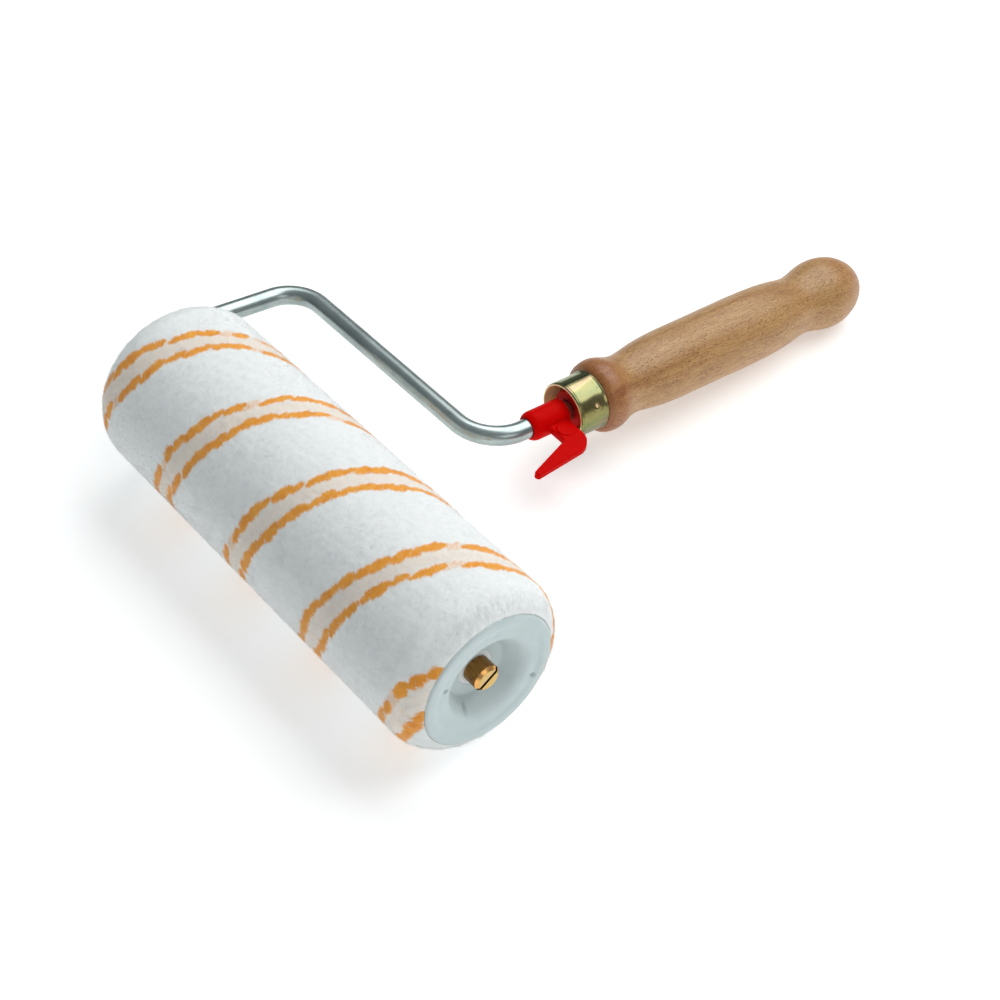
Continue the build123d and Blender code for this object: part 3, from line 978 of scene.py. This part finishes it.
def beech_handle():
    """The turned handle, whose outline is read from the CAD node, with a hand-turned unevenness."""
    places = cad_points("handle")
    along, radius = places[:, Y], np.hypot(places[:, X], places[:, Z])
    shoulder_y = cad_span("ferrule", Y)[1]
    outer_skin = (radius > 1.6 * WIRE_R) | (along > TANG_END + 1)
    body = outer_skin & (along > shoulder_y + 0.05)
    station_step = 0.25
    stations = np.round(along[body] / station_step) * station_step
    tops = {}
    for station, place, size in zip(stations, along[body], radius[body]):
        if size > tops.get(station, (0, -1))[1]:
            tops[station] = (place, size)
    skin = np.array([tops[station] for station in sorted(tops)])
    skin = skin[skin[:, 1] > 0.5]
    tip = np.array([[along.max(), 0.0]])
    outline = softened(np.vstack([[shoulder_y, HANDLE_FACE_R], skin, tip]), 0.5, 0.7)
    outline[-1, 1] = 0.0
    tenon = [[TENON_Y, 0.0], [TENON_Y, TENON_R], [shoulder_y, TENON_R]]
    points, faces = lathe(Y, np.vstack([tenon, outline]), 160)
    hand_turned = 0.10 * bumps(points * (1.0, 0.45, 1.0), 17.0, 12)
    hand_turned += 0.05 * bumps(points * (1.0, 0.5, 1.0), 7.0, 13)
    size = np.hypot(points[:, X], points[:, Z])
    free = smooth_step((points[:, Y] - shoulder_y - 1) / 4) * smooth_step(size / 6)
    scale = 1 + free * hand_turned / np.maximum(size, 1e-6)
    points[:, X] *= scale
    points[:, Z] *= scale
    grip = new_object("beech_handle", new_mesh("beech_handle", points, faces))
    finish_piece(grip, "frame", BEECH, "handle", sharp_angle=50.0)


# ---------------------------------------------------------------- ferrule and plug


def ferrule():
    """The ferrule: a rounded lip with a groove behind it, two punched stakes and a flared rear edge."""
    front, rear = cad_span("ferrule", Y)
    flare_r = cad_radius("ferrule", Y)
    groove_y, groove_half, groove_depth = front + 1.25, 0.22, 0.16
    corners = (
        (front + 6.0, FERRULE_R, 0.0),
        (groove_y + groove_half, FERRULE_R, 0.1),
        (groove_y, FERRULE_R - groove_depth, 0.1),
        (groove_y - groove_half, FERRULE_R, 0.1),
        (front, FERRULE_R, 0.85),
        (front, FERRULE_BORE_R, 0.12),
        (rear, FERRULE_BORE_R, 0.0),
        (rear, flare_r, 0.15),
        (rear - 0.35, flare_r, 0.15),
        (rear - 1.2, FERRULE_R + 0.04, 1.2),
    )
    sleeve = turned("ferrule_sleeve", Y, corners, 360, step=0.28, arc_step=15.0)
    places = to_bench(vertices_of(sleeve.data))
    size = np.hypot(places[:, X], places[:, Z])
    outside = size > FERRULE_R - 0.5
    change = np.zeros(len(places))
    for side in (0, 180):
        turn = math.radians(STAKE_ANGLE + side)
        outward = places[:, Z] * math.cos(turn) + places[:, X] * math.sin(turn)
        sideways = places[:, X] * math.cos(turn) - places[:, Z] * math.sin(turn)
        away = np.where(outward < 0, np.inf, np.hypot(sideways, places[:, Y] - STAKE_Y))
        sunk = 0.3 * np.exp(-((away / 3.0) ** 2))
        raised_rim = 0.11 * np.exp(-(((away - 1.35) / 0.42) ** 2))
        pit = 0.3 * smooth_step((0.95 - away) / 0.7)
        change += raised_rim - sunk - pit
    change += 0.025 * bumps(places, 9.0, 44)
    scale = 1 + outside * change / size
    places[:, X] *= scale
    places[:, Z] *= scale
    sleeve.data.vertices.foreach_set("co", to_row(places).ravel())
    finish_piece(sleeve, "frame", CHROMATE, "ferrule", sharp_angle=50.0)


def ferrule_plug():
    """The plug: a disc in the ferrule's mouth on a stem round the wire."""
    start, end = cad_span("ferrule_plug", Y)
    disc_r = cad_radius("ferrule_plug", Y)
    corners = (
        (start, (WIRE_R + disc_r) / 2, 0.0),
        (start, disc_r, 0.5),
        (TENON_Y, disc_r, 0.1),
        (TENON_Y, PLUG_STEM_R, 0.1),
        (end, PLUG_STEM_R, 0.4),
        (end, WIRE_R, 0.1),
        (start, WIRE_R, 0.2),
    )
    plug = turned("shank_plug", Y, corners, 120)
    finish_piece(plug, "frame", DARK_RED, "ferrule_plug")


# ---------------------------------------------------------------- bucket hook


def hook():
    """The moulded hook, with its edges and inner corners eased."""
    moulding = new_object("hook_moulding", frame["nodes"]["bucket_hook"].data.copy())
    with_modifiers(
        moulding,
        ("REMESH", {"mode": "VOXEL", "voxel_size": 0.2 * MM, "use_smooth_shade": True}),
        ("SMOOTH", {"factor": 0.5, "iterations": 7}),
    )
    finish_piece(moulding, "hook", RED, "bucket_hook", sharp_angle=None)


# ---------------------------------------------------------------- build the pieces
wire_frame()
slotted_nut()
ring_piece("axle_washer", "thrust_washer", "frame", BUSH_WHITE, WIRE_R)
ring_piece("axle_stop_ring", "stop_ring", "frame", ZINC_RING, WIRE_R, 0.5)
for end in ("near", "far"):
    ring_piece(f"{end}_bush", f"bush_{end}", "roller", BUSH_WHITE, WIRE_R + RUNNING_GAP)
end_cap("near_cap", "end_cap_near", NEAR_RIM, -1)
end_cap("far_cap", "end_cap_far", FAR_RIM, 1)
pile_roots()
for batch in range(FIBRE_BATCHES):
    pile_fibres(f"pile_fibres_{batch + 1}", FIBRES_EACH, 21 + batch)
combed_ends("combed_near", PILE_END, -1, COMBED_FIBRES, 61)
combed_ends("combed_far", PILE_START, 1, COMBED_FIBRES, 71)
beech_handle()
ferrule()
ferrule_plug()
hook()
for node, look in (("core_tube", CORE), ("cover_backing", CLOTH)):
    for material_slot in frame["nodes"][node].material_slots:
        material_slot.link = "OBJECT"
        material_slot.material = look

# ---------------------------------------------------------------- stage, light and camera
# Places and sizes from here on are in metres, in the row frame.
HALF_FLOOR = 4.0
WALL_TINT = (0.125, 0.137, 0.14)
CEILING_TINT = (0.38, 0.405, 0.42)
VIEW_TARGET = (0.02014, -0.04105, 0.0)
VIEW_DISTANCE = 0.77433
VIEW_AZIMUTH = 49.802
VIEW_ELEVATION = 44.331
VIEW_ROLL = 1.650
VIEW_LENS = 71.07           # millimetres, on a sensor 36 mm wide


def pale_floor():
    """A plain pale floor, which glows faintly so that shadows stay soft."""
    corners = [(x * HALF_FLOOR, y * HALF_FLOOR, 0) for x, y in ((-1, -1), (1, -1), (1, 1), (-1, 1))]
    mesh = bpy.data.meshes.new("floor")
    mesh.from_pydata(corners, [], [(0, 1, 2, 3)])
    look = Look("pale_floor", Base_Color=colour(245, 246, 246), Roughness=0.9, Emission_Strength=0.38)
    mesh.materials.append(look.set(Emission_Color=WHITEST))
    new_object("floor", mesh)


def studio_world():
    """A plain studio: dim walls that brighten towards the ceiling."""
    world = bpy.data.worlds.new("studio")
    bpy.context.scene.world = world
    world.use_nodes = True
    tree = world.node_tree
    background = tree.nodes["Background"]
    place = tree.nodes.new("ShaderNodeTexCoord")
    height = tree.nodes.new("ShaderNodeSeparateXYZ")
    shade = tree.nodes.new("ShaderNodeValToRGB")
    shade.color_ramp.elements[0].color = (*WALL_TINT, 1)
    shade.color_ramp.elements[1].color = (*CEILING_TINT, 1)
    tree.links.new(place.outputs["Generated"], height.inputs["Vector"])
    tree.links.new(height.outputs["Z"], shade.inputs["Fac"])
    tree.links.new(shade.outputs["Color"], background.inputs["Color"])


def area_light(name, place, target, size, power):
    """A soft rectangular light at place, facing target."""
    lamp = bpy.data.lights.new(name, "AREA")
    lamp.shape = "RECTANGLE"
    lamp.size, lamp.size_y = size
    lamp.energy = power
    holder = bpy.data.objects.new(name, lamp)
    bpy.context.scene.collection.objects.link(holder)
    holder.location = place
    holder.rotation_euler = (Vector(target) - Vector(place)).to_track_quat("-Z", "Y").to_euler()


def photo_camera():
    """The camera, where the photo was taken from."""
    azimuth, elevation, roll = map(math.radians, (VIEW_AZIMUTH, VIEW_ELEVATION, VIEW_ROLL))
    level = math.cos(elevation)
    backward = Vector((math.sin(azimuth) * level, -math.cos(azimuth) * level, math.sin(elevation)))
    level_right = Vector((math.cos(azimuth), math.sin(azimuth), 0))
    level_up = backward.cross(level_right)
    right = level_right * math.cos(roll) + level_up * math.sin(roll)
    axes = Matrix((right, backward.cross(right), backward)).transposed().to_4x4()
    lens = bpy.data.cameras.new("camera")
    lens.lens = VIEW_LENS
    lens.sensor_width = 36.0
    camera = bpy.data.objects.new("camera", lens)
    camera.matrix_world = Matrix.Translation(Vector(VIEW_TARGET) + backward * VIEW_DISTANCE) @ axes
    bpy.context.scene.collection.objects.link(camera)
    bpy.context.scene.camera = camera
    bpy.context.scene.view_settings.view_transform = "Standard"


pale_floor()
studio_world()
area_light("key", place=(-0.05, 0.75, 1.3), target=(0, 0, 0), size=(2.0, 1.1), power=20.5)
area_light("side", place=(1.5, -0.1, 0.8), target=(0, 0, 0.05), size=(0.9, 0.7), power=2.6)
photo_camera()

bpy.context.view_layer.update()
